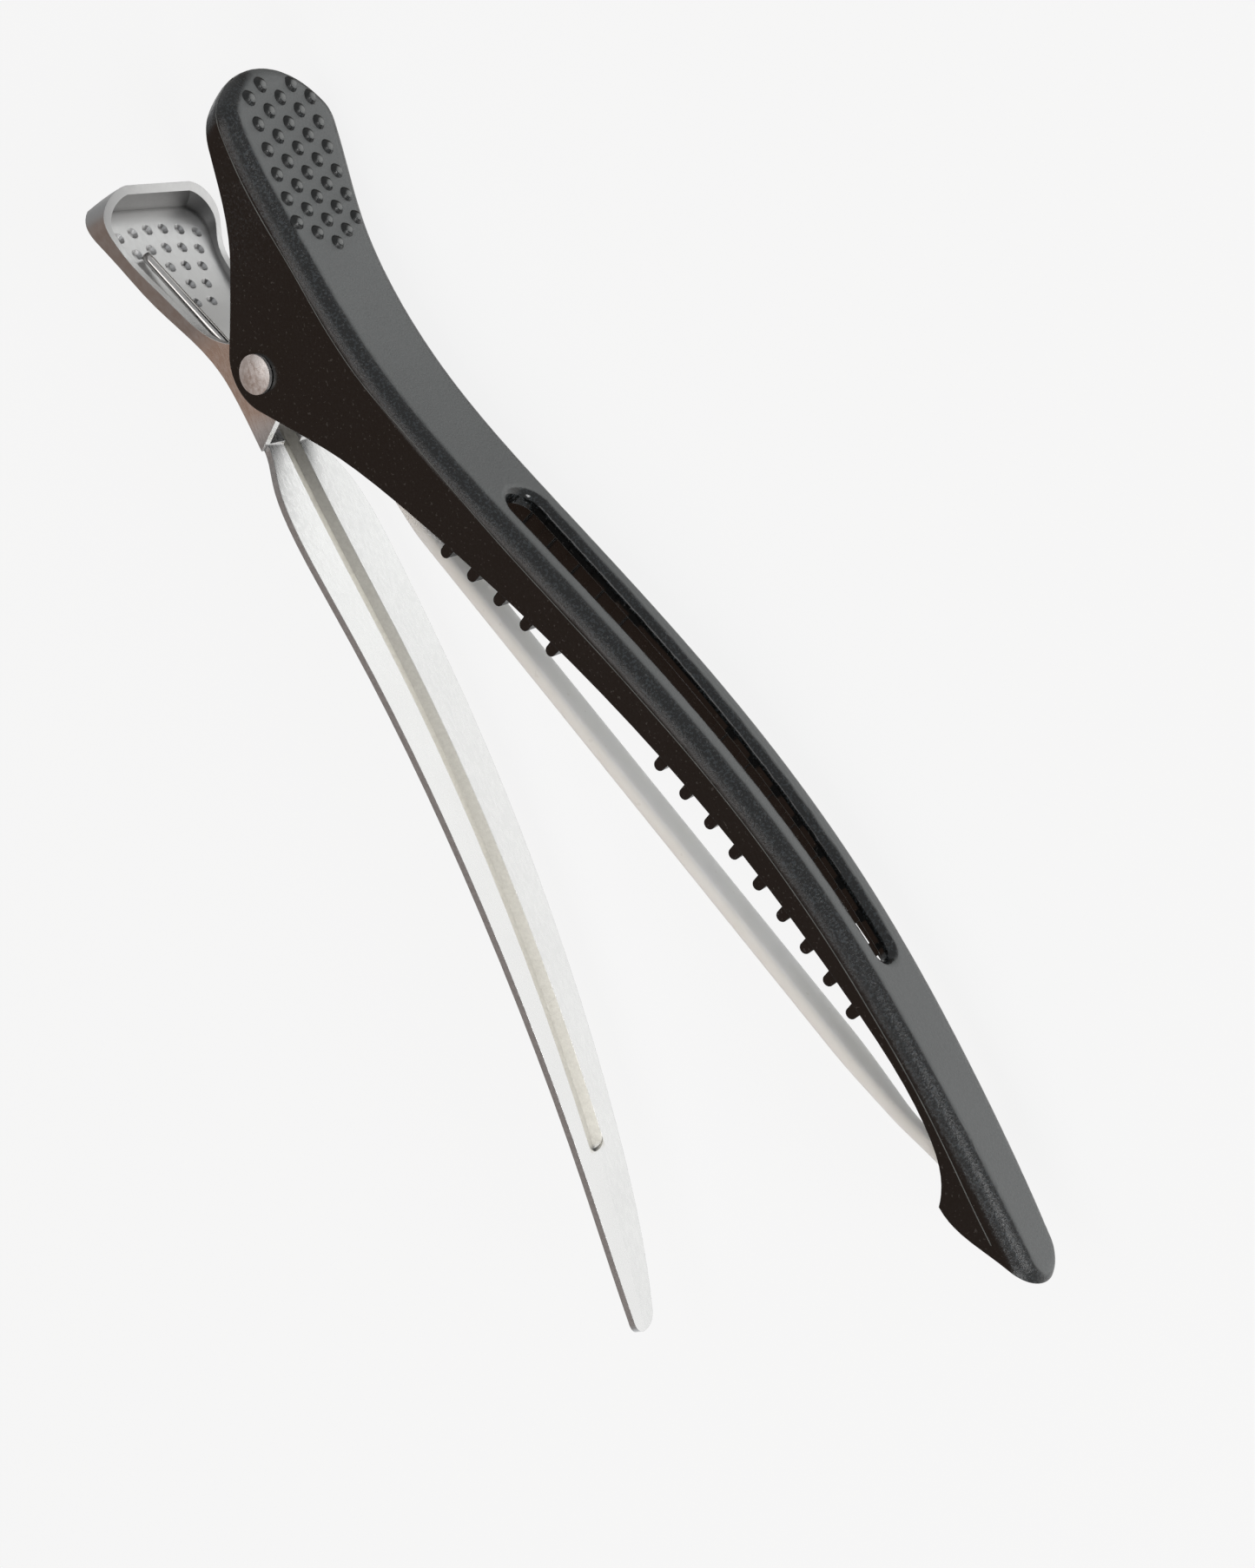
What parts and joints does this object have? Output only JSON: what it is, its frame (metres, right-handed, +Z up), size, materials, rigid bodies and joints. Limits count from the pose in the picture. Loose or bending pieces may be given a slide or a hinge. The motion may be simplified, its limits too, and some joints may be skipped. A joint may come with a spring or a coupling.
{
  "type": "hair sectioning clip",
  "caption": "Spring hair clip with a bowed, slotted moulded jaw, comb teeth, an elastic grip band and a grooved pressed metal lever.",
  "frame": {"origin": "bottom centre of the bounding box, with the clip lying on its side and its jaws open", "axes": "+X along the lever from the finger pads to the tips; +Y the way the moulded jaw opens, away from the lever; +Z up, along the hinge pin, towards the rivet's head"},
  "size_m": [0.1032, 0.047, 0.0129],
  "materials": {
    "jaw_plastic": "fine-grained charcoal moulding, satin on its top, smoother on its shoulders",
    "lever_metal": "bright pressed sheet",
    "spring_wire": "drawn spring wire",
    "rivet_metal": "satin",
    "band_elastic": "off-white silicone, slightly translucent"
  },
  "bodies": {
    "lower_lever": {"lever": "lever_metal", "torsion_spring": "spring_wire"},
    "upper_jaw": {"jaw": "jaw_plastic", "hinge_rivet": "rivet_metal", "band": "band_elastic"}
  },
  "joints": [
    {"name": "jaw_hinge", "type": "hinge", "parent": "lower_lever", "child": "upper_jaw", "pos_m": [-0.03004, -0.01341, 0.00644], "axis": [0, 0, 1], "range_deg": [-23.4, 12], "stiffness_Nm_per_rad": 0.055, "springref_deg": -51.57, "deforming": ["torsion_spring", "band"]}
  ]
}
